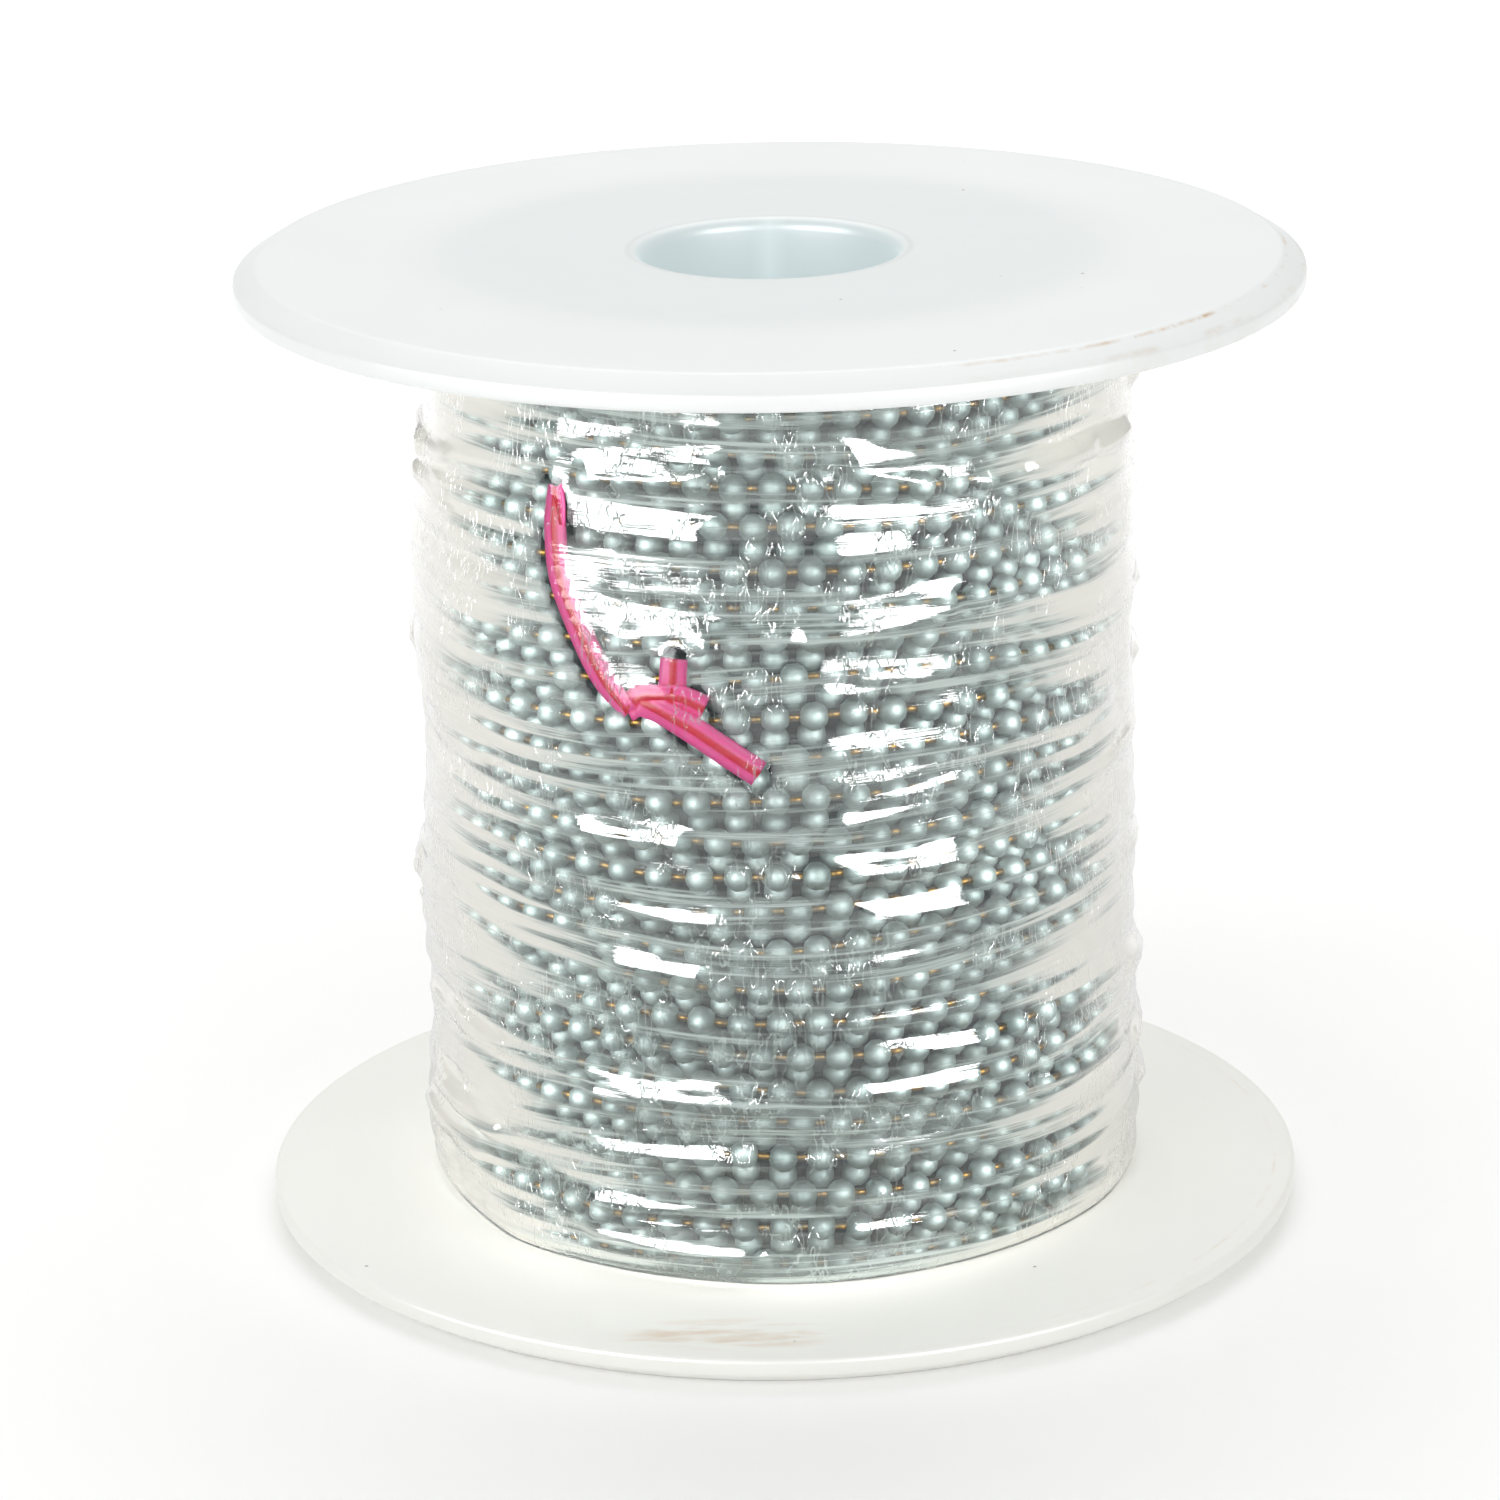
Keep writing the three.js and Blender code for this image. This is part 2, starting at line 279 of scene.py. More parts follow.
def spool_plastic(settings):
    """Natural polyethylene, injection moulded: milky white, soft sheen, with painted shade where the chain lies
    under it and a faint painted glow.
    """
    material, tree, place = new_material("Natural polyethylene, moulded")
    axes = add(tree, "SeparateXYZ", {"Vector": place})
    flat = add(tree, "CombineXYZ", {"X": axes.outputs["X"], "Y": axes.outputs["Y"]})
    radius = add(tree, "VectorMath", {0: flat.outputs["Vector"]}, operation="LENGTH").outputs["Value"]
    # Cloudy wall thickness, about 25 mm across
    cloud = add(tree, "TexNoise", {"Vector": place, "Scale": 40, "Detail": 3}).outputs["Fac"]
    # The lower half, yellowed and painted lighter against the upper flange's shadow, blends into the upper from
    # 30 to 120 mm
    rise = add(tree, "MapRange", {"Value": axes.outputs["Z"], "From Min": 0.03, "From Max": 0.12})
    body = add(tree, "Mix", {"Factor": rise.outputs["Result"], 6: opaque(settings.lower),
                             7: opaque(settings.upper)}, data_type="RGBA")
    # Painted shade over the winding, where the chain lies under the translucent flange, fading out from 45 to
    # 61 mm, and a ring of painted shade 1.4 mm wide on the bore's lip
    edge = add(tree, "MapRange", {"Value": radius, "From Min": 45 * MM, "From Max": 61 * MM,
                                  "To Min": 1, "To Max": 0}, interpolation_type="SMOOTHSTEP")
    veil = add(tree, "MapRange", {"Value": cloud, "To Min": 0.25, "To Max": 0.75})
    lip = settings.bore_radius + settings.lip_radius
    off_lip = add(tree, "Math", {0: radius, 1: lip}, operation="SUBTRACT")
    beside = add(tree, "Math", {0: off_lip.outputs["Value"]}, operation="ABSOLUTE").outputs["Value"]
    ring = add(tree, "MapRange", {"Value": beside, "From Max": 0.7 * MM, "To Min": 0.5, "To Max": 0})
    shade = add(tree, "Math", {0: edge.outputs["Result"], 1: veil.outputs["Result"], 2: ring.outputs["Result"]},
                operation="MULTIPLY_ADD", use_clamp=True)
    over = add(tree, "Mix", {"Factor": shade.outputs["Value"], 6: body.outputs[2],
                             7: opaque(settings.shaded)}, data_type="RGBA")
    # Painted shade inside the bore, fading out just past the lip
    inside = add(tree, "MapRange", {"Value": radius, "From Min": settings.bore_radius + 0.3 * MM,
                                    "From Max": settings.bore_radius + 1.6 * MM, "To Min": 1, "To Max": 0},
                 interpolation_type="SMOOTHSTEP")
    bore_shade = add(tree, "Mix", {"Factor": inside.outputs["Result"], 6: over.outputs[2],
                              7: opaque(settings.bore)}, data_type="RGBA")
    # Handling grime: a fine broken line along the bevel's edge and marks on the rim, on the right
    # It is broken about every 8 mm
    specks = add(tree, "TexNoise", {"Vector": place, "Scale": 120, "Detail": 6, "Roughness": 0.7})
    specks = specks.outputs["Fac"]
    broken = add(tree, "MapRange", {"Value": specks, "From Min": 0.47, "From Max": 0.66}).outputs["Result"]
    lines = []
    for edge_radius, reach, strength in ((FLANGE_RADIUS - settings.bevel_width, 0.45 * MM, 0.9),
                                         (FLANGE_RADIUS - 0.6 * MM, 0.8 * MM, 0.28)):
        off_edge = add(tree, "Math", {0: radius, 1: edge_radius}, operation="SUBTRACT").outputs["Value"]
        distance = add(tree, "Math", {0: off_edge}, operation="ABSOLUTE").outputs["Value"]
        lines.append(add(tree, "MapRange", {"Value": distance, "From Max": reach, "To Min": strength,
                                            "To Max": 0}).outputs["Result"])
    line = add(tree, "Math", {0: lines[0], 1: lines[1]}, operation="MAXIMUM").outputs["Value"]
    sided = add(tree, "MapRange", {"Value": axes.outputs["X"], "From Min": 0.015, "From Max": 0.06,
                                   "To Min": 0.04, "To Max": 1}).outputs["Result"]
    above = add(tree, "MapRange", {"Value": axes.outputs["Z"], "From Min": 0.03, "From Max": 0.12,
                                   "To Min": 0.25, "To Max": 1}).outputs["Result"]
    marks = line
    for share in (sided, above, broken):
        marks = add(tree, "Math", {0: marks, 1: share}, operation="MULTIPLY").outputs["Value"]
    # Brown smear in front on the lower flange, about 34 mm by 12 mm, wiped into streaks 11 mm by 2.4 mm
    offset = add(tree, "VectorMath", {0: place, 1: (*SMEAR_PLACE, LOW_FACE)}, operation="SUBTRACT")
    size = (1 / SMEAR_HALF[0], 1 / SMEAR_HALF[1], 1 / MM)
    sized = add(tree, "VectorMath", {0: offset.outputs["Vector"], 1: size}, operation="MULTIPLY")
    reach = add(tree, "VectorMath", {0: sized.outputs["Vector"]}, operation="LENGTH").outputs["Value"]
    wiped = add(tree, "VectorMath", {0: place, 1: (90, 420, 90)}, operation="MULTIPLY").outputs["Vector"]
    wipe = add(tree, "TexNoise", {"Vector": wiped, "Scale": 1, "Detail": 4}).outputs["Fac"]
    streaks = add(tree, "MapRange", {"Value": wipe, "From Min": 0.42, "From Max": 0.62, "To Max": 0.42})
    spot = add(tree, "MapRange", {"Value": reach, "From Min": 0.55, "From Max": 1.1, "To Min": 1,
                                  "To Max": 0}).outputs["Result"]
    smear = add(tree, "Math", {0: spot, 1: streaks.outputs["Result"]}, operation="MULTIPLY")
    # A few dark specks of dust, about 0.5 mm across and 11 mm apart
    dust = add(tree, "TexVoronoi", {"Vector": place, "Scale": 90}).outputs["Distance"]
    dots = add(tree, "MapRange", {"Value": dust, "From Min": 0.016, "From Max": 0.03, "To Min": 0.8,
                                  "To Max": 0}).outputs["Result"]
    stains = add(tree, "Math", {0: marks, 1: smear.outputs["Value"]}, operation="MAXIMUM").outputs["Value"]
    skin = add(tree, "Mix", {"Factor": stains, 6: bore_shade.outputs[2], 7: opaque(settings.grime)},
               data_type="RGBA")
    dusty = add(tree, "Mix", {"Factor": dots, 6: skin.outputs[2], 7: opaque(settings.dust)},
                data_type="RGBA")
    # Painted glow, as emission in the plastic's own colour, standing in for light that comes through the thin
    # wall: faint all over, most in the bore, and brightest at its back in a painted highlight stripe
    aside = add(tree, "Math", {0: axes.outputs["X"]}, operation="ABSOLUTE").outputs["Value"]
    glow_stripe = add(tree, "MapRange", {"Value": aside, "From Max": 3 * MM, "To Min": 0.42,
                                  "To Max": 0.3}).outputs["Result"]
    glow = add(tree, "MapRange", {"Value": inside.outputs["Result"], "To Min": 0.03, "To Max": glow_stripe})
    # Fine moulded grain, drawn at 0.5 mm so that it shows
    grain = add(tree, "TexNoise", {"Vector": place, "Scale": 2000, "Detail": 2}).outputs["Fac"]
    bump = add(tree, "Bump", {"Height": grain, "Strength": 0.05, "Distance": 0.1 * MM})
    sheen = add(tree, "MapRange", {"Value": cloud, "To Min": 0.34, "To Max": 0.46})
    plastic = add(tree, "BsdfPrincipled", {
        "Base Color": dusty.outputs[2], "Roughness": sheen.outputs["Result"], "Normal": bump.outputs["Normal"],
        "Emission Color": dusty.outputs[2], "Emission Strength": glow.outputs["Result"],
        "IOR": 1.5})
    add(tree, "OutputMaterial", {"Surface": plastic.outputs["BSDF"]})
    return material


def ball_metal(settings):
    """Nickel-plated steel, tumbled: a satin sheen, a little darker or lighter from ball to ball."""
    material, tree, place = new_material("Nickel-plated steel, tumbled")
    tone = add(tree, "Attribute", attribute_name="tone").outputs["Fac"]
    # Dull patches about 1 mm across
    patch = add(tree, "TexNoise", {"Vector": place, "Scale": 900, "Detail": 3}).outputs["Fac"]
    dull = add(tree, "MapRange", {"Value": patch, "From Min": 0.3, "From Max": 0.7, "To Min": 0.54,
                                  "To Max": 0.68})
    dark = tuple(share * c for share, c in zip(NICKEL_DARK, settings.nickel))
    tint = add(tree, "Mix", {"Factor": tone, 6: opaque(dark), 7: opaque(settings.nickel)}, data_type="RGBA")
    metal = add(tree, "BsdfPrincipled", {
        "Base Color": tint.outputs[2], "Metallic": 1, "Roughness": dull.outputs["Result"],
        "Coat Weight": 0.08, "Coat Roughness": 0.25})
    add(tree, "OutputMaterial", {"Surface": metal.outputs["BSDF"]})
    return material


def mottled_metal(name, shade, scale, share, metallic, roughness):
    """Brass wire mottled at 0.8 mm, or the dark core in painted shade that stands for the steel of the deep
    turns, mottled at 4.5 mm.
    """
    material, tree, place = new_material(name)
    patch = add(tree, "TexNoise", {"Vector": place, "Scale": scale, "Detail": 2}).outputs["Fac"]
    dark = tuple(share * c for c in shade)
    tint = add(tree, "Mix", {"Factor": patch, 6: opaque(dark), 7: opaque(shade)}, data_type="RGBA")
    metal = add(tree, "BsdfPrincipled", {
        "Base Color": tint.outputs[2], "Metallic": metallic, "Roughness": roughness})
    add(tree, "OutputMaterial", {"Surface": metal.outputs["BSDF"]})
    return material


def tie_plastic(settings):
    """Pink polyethylene pressed over a steel wire: paler edges, a strong red line, clouded at 2 mm, with a
    faint painted glow.
    """
    material, tree, place = new_material("Pink polyethylene over wire")
    across = add(tree, "Attribute", attribute_name="across").outputs["Fac"]
    cloud = add(tree, "TexNoise", {"Vector": place, "Scale": 500, "Detail": 3}).outputs["Fac"]
    core = add(tree, "MapRange", {"Value": across, "From Min": 0.18, "From Max": 0.38, "To Min": 1,
                                  "To Max": 0})
    pale = tuple(min(1, 1.25 * c + 0.03) for c in settings.edge)
    strip = add(tree, "Mix", {"Factor": cloud, 6: opaque(settings.edge), 7: opaque(pale)}, data_type="RGBA")
    tint = add(tree, "Mix", {"Factor": core.outputs["Result"], 6: strip.outputs[2], 7: opaque(settings.core)},
               data_type="RGBA")
    # The emission of 0.14 is a painted glow that brightens the tie
    plastic = add(tree, "BsdfPrincipled", {
        "Base Color": tint.outputs[2], "Roughness": 0.45, "IOR": 1.5, "Specular IOR Level": 0.25,
        "Emission Color": tint.outputs[2], "Emission Strength": 0.14})
    add(tree, "OutputMaterial", {"Surface": plastic.outputs["BSDF"]})
    return material


def film_plastic(settings):
    """Polyethylene stretch film in several layers: clear and glossy when taut, milky where it bunches."""
    material, tree, place = new_material("Polyethylene stretch film")
    haze = add(tree, "Attribute", attribute_name="haze").outputs["Fac"]
    level = add(tree, "Attribute", attribute_name="level").outputs["Fac"]
    axes = add(tree, "SeparateXYZ", {"Vector": place})
    laid = add(tree, "CombineXYZ", {"X": axes.outputs["X"], "Y": axes.outputs["Y"], "Z": level})
    laid = laid.outputs["Vector"]
    # Creases run round the roll with the rows: about 30 mm long and 0.7 mm high
    drawn = add(tree, "VectorMath", {0: laid, 1: (32, 32, 1400)}, operation="MULTIPLY").outputs["Vector"]
    crease = add(tree, "TexNoise", {"Vector": drawn, "Scale": 1, "Detail": 3, "Roughness": 0.62})
    crease = crease.outputs["Fac"]
    # Short tight wrinkles across them, about 4.5 mm long and 1.25 mm apart, in patches of 9 mm
    across = add(tree, "VectorMath", {0: place, 1: (800, 800, 220)}, operation="MULTIPLY").outputs["Vector"]
    pucker = add(tree, "TexNoise", {"Vector": across, "Scale": 1, "Detail": 1}).outputs["Fac"]
    even = add(tree, "Math", {0: pucker, 1: 0.5}, operation="SUBTRACT").outputs["Value"]
    near = add(tree, "Math", {0: even}, operation="ABSOLUTE").outputs["Value"]
    line = add(tree, "MapRange", {"Value": near, "From Max": 0.035, "To Min": 1, "To Max": 0})
    line = line.outputs["Result"]
    spots = add(tree, "TexNoise", {"Vector": place, "Scale": 110, "Detail": 0}).outputs["Fac"]
    where = add(tree, "MapRange", {"Value": spots, "From Min": 0.5, "From Max": 0.58}).outputs["Result"]
    puckers = add(tree, "Math", {0: line, 1: where}, operation="MULTIPLY").outputs["Value"]
    relief = add(tree, "Math", {0: puckers, 1: 1.2, 2: crease}, operation="MULTIPLY_ADD").outputs["Value"]
    bump = add(tree, "Bump", {"Height": relief, "Strength": 1, "Distance": 0.06 * MM}).outputs["Normal"]
    # How steeply the roll, not each fold, is seen: the layers add up towards its edges
    out = add(tree, "CombineXYZ", {"X": axes.outputs["X"], "Y": axes.outputs["Y"]}).outputs["Vector"]
    away = add(tree, "VectorMath", {0: out}, operation="NORMALIZE").outputs["Vector"]
    facing = add(tree, "LayerWeight", {"Blend": 0.5, "Normal": away}).outputs["Facing"]
    steep = add(tree, "Math", {0: crease, 1: 0.35, 2: facing}, operation="MULTIPLY_ADD").outputs["Value"]
    piled = add(tree, "Math", {0: haze, 1: 0.5, 2: steep}, operation="MULTIPLY_ADD").outputs["Value"]
    grazing = add(tree, "MapRange", {"Value": piled, "From Min": 0.68, "From Max": 1.05, "To Min": 0,
                                     "To Max": 0.92}, interpolation_type="SMOOTHSTEP").outputs["Result"]
    streak = add(tree, "MapRange", {"Value": crease, "From Min": 0.48, "From Max": 0.7, "To Min": 0.4,
                                    "To Max": 1.8}).outputs["Result"]
    milky = add(tree, "Math", {0: haze, 1: streak}, operation="MULTIPLY").outputs["Value"]
    lined = add(tree, "Math", {0: puckers, 1: 0.4, 2: milky}, operation="MULTIPLY_ADD").outputs["Value"]
    both = add(tree, "Math", {0: lined, 1: grazing}, operation="ADD", use_clamp=True).outputs["Value"]
    clear = add(tree, "BsdfTransparent", {"Color": opaque(settings.tint)}).outputs["BSDF"]
    cloud = add(tree, "Mix", {"Factor": grazing, 6: opaque(settings.cloud), 7: opaque(settings.milk)},
                data_type="RGBA").outputs[2]
    milk = add(tree, "BsdfDiffuse", {"Color": cloud}).outputs["BSDF"]
    body = add(tree, "MixShader", {"Fac": both, 1: clear, 2: milk}).outputs["Shader"]
    mirror = add(tree, "Fresnel", {"IOR": 1.5, "Normal": bump}).outputs["Fac"]
    turns = add(tree, "MapRange", {"Value": haze, "From Min": 0.05, "From Max": 0.1, "To Min": 0.4,
                                   "To Max": 2.2}).outputs["Result"]
    layers = add(tree, "Math", {0: mirror, 1: turns}, operation="MULTIPLY", use_clamp=True).outputs["Value"]
    gloss = add(tree, "BsdfGlossy", {"Roughness": 0.05, "Normal": bump}).outputs["BSDF"]
    skin = add(tree, "MixShader", {"Fac": layers, 1: body, 2: gloss}).outputs["Shader"]
    add(tree, "OutputMaterial", {"Surface": skin})
    return material


def film_back():
    """The film's inner side and ends, left clear, since the outer side already shows all its layers."""
    material, tree, _ = new_material("Polyethylene stretch film, inner side")
    clear = add(tree, "BsdfTransparent", {"Color": (1, 1, 1, 1)})
    add(tree, "OutputMaterial", {"Surface": clear.outputs["BSDF"]})
    return material


def new_piece(name, bm, materials, node):
    """Makes the bmesh an object that stands for a CAD node and takes its finish from a slot."""
    mesh = bpy.data.meshes.new(name)
    bm.to_mesh(mesh)
    bm.free()
    for material in materials:
        mesh.materials.append(material)
    mesh.shade_smooth()
    piece = bpy.data.objects.new(name, mesh)
    bpy.context.scene.collection.objects.link(piece)
    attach(piece, "root")
    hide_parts(node)
    return piece


def spun(points, steps):
    """Turns a closed outline of (radius, height) points once round the Z axis."""
    bm = bmesh.new()
    corners = [bm.verts.new((radius, 0, height)) for radius, height in points]
    edges = [bm.edges.new((corner, corners[i - 1])) for i, corner in enumerate(corners)]
    bmesh.ops.spin(bm, geom=corners + edges, cent=(0, 0, 0), axis=(0, 0, 1), angle=TURN, steps=steps,
                   use_merge=True)
    bmesh.ops.remove_doubles(bm, verts=bm.verts, dist=1e-7)
    bmesh.ops.recalc_face_normals(bm, faces=bm.faces)
    return bm


def arc(centre, radius, start, end, steps):
    """Points on an arc in the section, with its angles in degrees."""
    angles = (math.radians(start + (end - start) * i / steps) for i in range(steps + 1))
    return [(centre[0] + radius * math.cos(a), centre[1] + radius * math.sin(a)) for a in angles]


class SPOOL_OT_moulding(bpy.types.Operator):
    """Spins the spool's section and gives it its plastic"""
    bl_idname = "spool.moulding"
    bl_label = "Moulded spool"

    def execute(self, context):
        settings = context.scene.spool_settings
        half = SPOOL_HEIGHT / 2
        inner = HIGH_FACE - half
        barrel = settings.bore_radius + settings.barrel_wall
        soft = 0.35 * MM
        lip = settings.bore_radius + settings.lip_radius
        bevelled = FLANGE_RADIUS - settings.bevel_width
        slope = math.degrees(math.atan2(settings.bevel_height, settings.bevel_width))
        upper = [
            (barrel, inner - settings.barrel_root),
            (barrel + settings.barrel_root, inner),
            (barrel + 3 * MM, inner),
            (FLANGE_RADIUS - 4 * MM, inner),
            *arc((FLANGE_RADIUS - 2 * soft, inner + 2 * soft), 2 * soft, -90, 0, 4),
            *arc((FLANGE_RADIUS - 3 * soft, half - settings.bevel_height - soft), 3 * soft, 0, 90 - slope, 4),
            *arc((bevelled - 3 * soft, half - 4 * soft), 4 * soft, 90 - slope, 90, 4),
            (bevelled - 3 * MM, half),
            (lip + 2 * MM, half),
            *arc((lip, half - settings.lip_radius), settings.lip_radius, 90, 180, 8),
            (settings.bore_radius, half - 4 * MM),
        ]
        outline = upper + [(radius, -height) for radius, height in reversed(upper)]
        bm = spun([(radius, half + height) for radius, height in outline], 192)
        piece = new_piece("moulded_spool", bm, [spool_plastic(settings)], "spool")
        piece.data.set_sharp_from_angle(angle=math.radians(50))
        return {"FINISHED"}


def stamped(pattern, places):
    """One bmesh with a copy of the pattern mesh at each place."""
    bm = bmesh.new()
    for place in places:
        copy = pattern.copy()
        copy.transform(place)
        bm.from_mesh(copy)
        bpy.data.meshes.remove(copy)
    return bm


def pattern_of(bm):
    mesh = bpy.data.meshes.new("pattern")
    bm.to_mesh(mesh)
    bm.free()
    return mesh


def polar(radius, angle, height):
    return np.stack([radius * np.cos(angle), radius * np.sin(angle), height], axis=-1)


def tie_distance(angle, height):
    """Distance along the winding from the tie's middle line."""
    around = (np.mod(angle - TIE_ANGLE + math.pi, TURN) - math.pi) * WINDING_RADIUS
    up = height - TIE_HEIGHT
    nearest = np.full(np.shape(around), 1.0)
    for route in TIE_ROUTES:
        for along, rise, *_ in dense(route, 24):
            nearest = np.minimum(nearest, np.hypot(around - along, up - rise))
    return nearest


def ball_places(settings, depth, offset):
    """Centres of the balls of one layer of turns, in order along the chain."""
    pitch = row_pitch()
    circle = WINDING_RADIUS - FILM_GAP - settings.ball / 2
    per_turn = round(TURN * circle / settings.pitch) + 0.5
    rows = round((HIGH_FACE - LOW_FACE) / pitch)
    index = np.arange(math.floor((rows - CLIMB) * per_turn) + 1)
    angle = LAY_START + TURN * (index + offset) / per_turn
    turned = (index + offset) / per_turn
    height = row_height(angle, np.floor(turned) + 0.75 * offset)
    height = np.minimum(height, HIGH_FACE - settings.ball / 2 - 0.2 * MM)
    draw = np.random.default_rng(11 + int(10 * offset))
    height = height + draw.normal(0, BALL_STRAY, index.size)
    pressed = PRESS_DEPTH * smooth(1 - (tie_distance(angle, height) - PRESS_NEAR) / PRESS_EASE)
    radius = winding_radius(angle, height) - FILM_GAP - settings.ball / 2
    radius = radius - sunk(angle, height) - pressed - depth
    angle = angle + draw.normal(0, BALL_STRAY, index.size) / WINDING_RADIUS
    return polar(radius - np.abs(draw.normal(0, BALL_STRAY, index.size)), angle, height)


class SPOOL_OT_chain(bpy.types.Operator):
    """Lays the two outer layers of balls, the links of the outer one, and a dark core in painted shade for the
    turns below them
    """
    bl_idname = "spool.chain"
    bl_label = "Wound ball chain"

    def execute(self, context):
        settings = context.scene.chain_settings
        nickel = ball_metal(settings)
        bm = bmesh.new()
        bmesh.ops.create_icosphere(bm, subdivisions=2, radius=settings.ball / 2)
        ball = pattern_of(bm)
        outer = ball_places(settings, 0, 0)
        under = ball_places(settings, UNDER_DEPTH, 0.5)
        for name, centres in (("chain_balls", outer), ("chain_balls_under", under)):
            bm = stamped(ball, [Matrix.Translation(centre) for centre in centres])
            piece = new_piece(name, bm, [nickel], "wound_chain")
            draw = np.random.default_rng(17)
            tone = np.repeat(draw.uniform(0.2, 1, len(centres)), len(ball.vertices))
            piece.data.attributes.new("tone", "FLOAT", "POINT").data.foreach_set("value", tone)
        bm = bmesh.new()
        bmesh.ops.create_cone(bm, cap_ends=True, segments=7, radius1=settings.link / 2,
                              radius2=settings.link / 2, depth=1)
        link = pattern_of(bm)
        places = []
        for start, end in zip(outer[:-1], outer[1:]):
            span = Vector(end - start)
            turned = span.to_track_quat("Z", "Y").to_matrix().to_4x4()
            middle = Matrix.Translation((start + end) / 2)
            places.append(middle @ turned @ Matrix.Scale(span.length - settings.ball * 0.7, 4, (0, 0, 1)))
        brass = mottled_metal("Brass wire, drawn", settings.brass, 1200, 0.45, 1, 0.4)
        new_piece("chain_links", stamped(link, places), [brass], "wound_chain")
        core = WINDING_RADIUS - CORE_DEPTH
        spool = context.scene.spool_settings
        hole = spool.bore_radius + spool.barrel_wall + spool.barrel_root
        low, high = LOW_FACE + FACE_GAP, HIGH_FACE - FACE_GAP
        # A plain core in painted shade stands for the deep turns
        bm = spun([(hole, low), (core, low), (core, high), (hole, high)], 96)
        deep = mottled_metal("Nickel-plated steel, in shadow", settings.shadow, 220, 0.4, 0.3, 0.7)
        new_piece("chain_core", bm, [deep], "wound_chain")
        for mesh in (ball, link):
            bpy.data.meshes.remove(mesh)
        return {"FINISHED"}


# The tie's routes on the unrolled winding: loop, folded end, turn back, stub and tail. Each point has its
# lengths round the winding and up it from the twist, how far the strip stands off the balls, and how far it is
# turned on its own line
TIE_ANGLE = math.radians(-104)
TIE_HEIGHT = 98 * MM
TIE_ROUTES = [
    [(-23.2, 30.5, 0, 15), (-23.2, 27.5, 0.1, 5), (-22.9, 24, 0.2, 0), (-21.5, 17.5, 0.2, 0),
     (-17.7, 10.5, 0.2, 0), (-13, 3, 0.2, 5), (-8.8, -1.6, 0.1, 30)],
    [(-22.8, 30.6, 0.7, 20), (-21.6, 28.4, 0.9, 35), (-20.9, 25.4, 0.6, 55)],
    [(-9.2, -1.2, 0.1, -20), (-6.5, 0.9, 0.4, 0), (-3.7, 1.4, 0.6, 25), (-0.6, 1.2, 0.3, 10),
     (3, -0.4, 0, 0)],
    [(-2.2, 0.2, 0.3, 0), (-1.8, 3.5, 0.4, 10), (-1.6, 7.1, 0.3, 0)],
    [(-6.9, 0.3, 0.3, -30), (-4.1, -0.7, 0.6, 10), (0.8, -3.3, 0.4, 0), (5.2, -6.2, 0.2, 0),
     (11.2, -10.2, 0.1, 0)],
]
TIE_ROUTES = [[(a * MM, u * MM, o * MM, math.radians(t)) for a, u, o, t in route]
              for route in TIE_ROUTES]
# Thickness of the strip beside its wire, and how deep it is bedded below the outer balls' crests
TIE_THIN = 0.28 * MM
TIE_BED = 1.1 * MM


def dense(route, count):
    """Points evenly spaced in number along a smooth curve through a route."""
    points = np.array(route)
    wanted = np.linspace(0, len(points) - 1, count)
    padded = np.vstack([2 * points[0] - points[1], points, 2 * points[-1] - points[-2]])
    result = []
    for share in wanted:
        i = min(int(share), len(points) - 2)
        t = share - i
        a, b, c, d = padded[i:i + 4]
        result.append(0.5 * (2 * b + (c - a) * t + (2 * a - 5 * b + 4 * c - d) * t ** 2
                             + (3 * b - a - 3 * c + d) * t ** 3))
    return result


def tie_strip(settings, route):
    """Sweeps the strip's flat section, thick over its wire, along one route on the winding."""
    half, thin, wire = settings.width / 2, TIE_THIN, settings.wire
    section = [(-half, 0), (-half * 0.6, 0), (-wire * 0.7, 0), (0, 0),
               (wire * 0.7, 0), (half * 0.6, 0), (half, 0)]
    lift = [thin, thin, thin * 1.4, wire, thin * 1.4, thin, thin]
    outline = section + [(side, top) for (side, _), top in reversed(list(zip(section, lift)))]
    stations = dense(route, 6 * len(route))
    bm = bmesh.new()
    across = bm.verts.layers.float.new("across")

    def place(i, ring):
        along, up, off, turn = stations[i]
        before, after = stations[max(i - 1, 0)], stations[min(i + 1, len(stations) - 1)]
        heading = math.atan2(after[1] - before[1], after[0] - before[0])
        for vert, (side, top) in zip(ring, outline):
            wide = side * math.cos(turn) - top * math.sin(turn)
            out = side * math.sin(turn) + top * math.cos(turn)
            angle = TIE_ANGLE + (along - wide * math.sin(heading)) / WINDING_RADIUS
            height = TIE_HEIGHT + up + wide * math.cos(heading)
            bed = winding_radius(angle, height) - FILM_GAP - TIE_BED
            vert.co = Vector(polar(bed + off + out, angle, height))
            vert[across] = abs(side) / half

    ring = [bm.verts.new() for _ in outline]
    edges = [bm.edges.new((vert, ring[i - 1])) for i, vert in enumerate(ring)]
    place(0, ring)
    bmesh.ops.contextual_create(bm, geom=edges)
    for i in range(1, len(stations)):
        made = bmesh.ops.extrude_edge_only(bm, edges=edges)["geom"]
        edges = [item for item in made if isinstance(item, bmesh.types.BMEdge) and len(item.link_faces) == 1]
        known = set(ring)
        links = {edge.other_vert(vert): vert for vert in ring for edge in vert.link_edges
                 if edge.other_vert(vert) not in known}
        follow = {vert: fresh for fresh, vert in links.items() if fresh.link_faces and fresh in
                  {end for edge in edges for end in edge.verts}}
        ring = [follow[vert] for vert in ring]
        place(i, ring)
    bmesh.ops.contextual_create(bm, geom=edges)
    bmesh.ops.recalc_face_normals(bm, faces=bm.faces)
    return bm


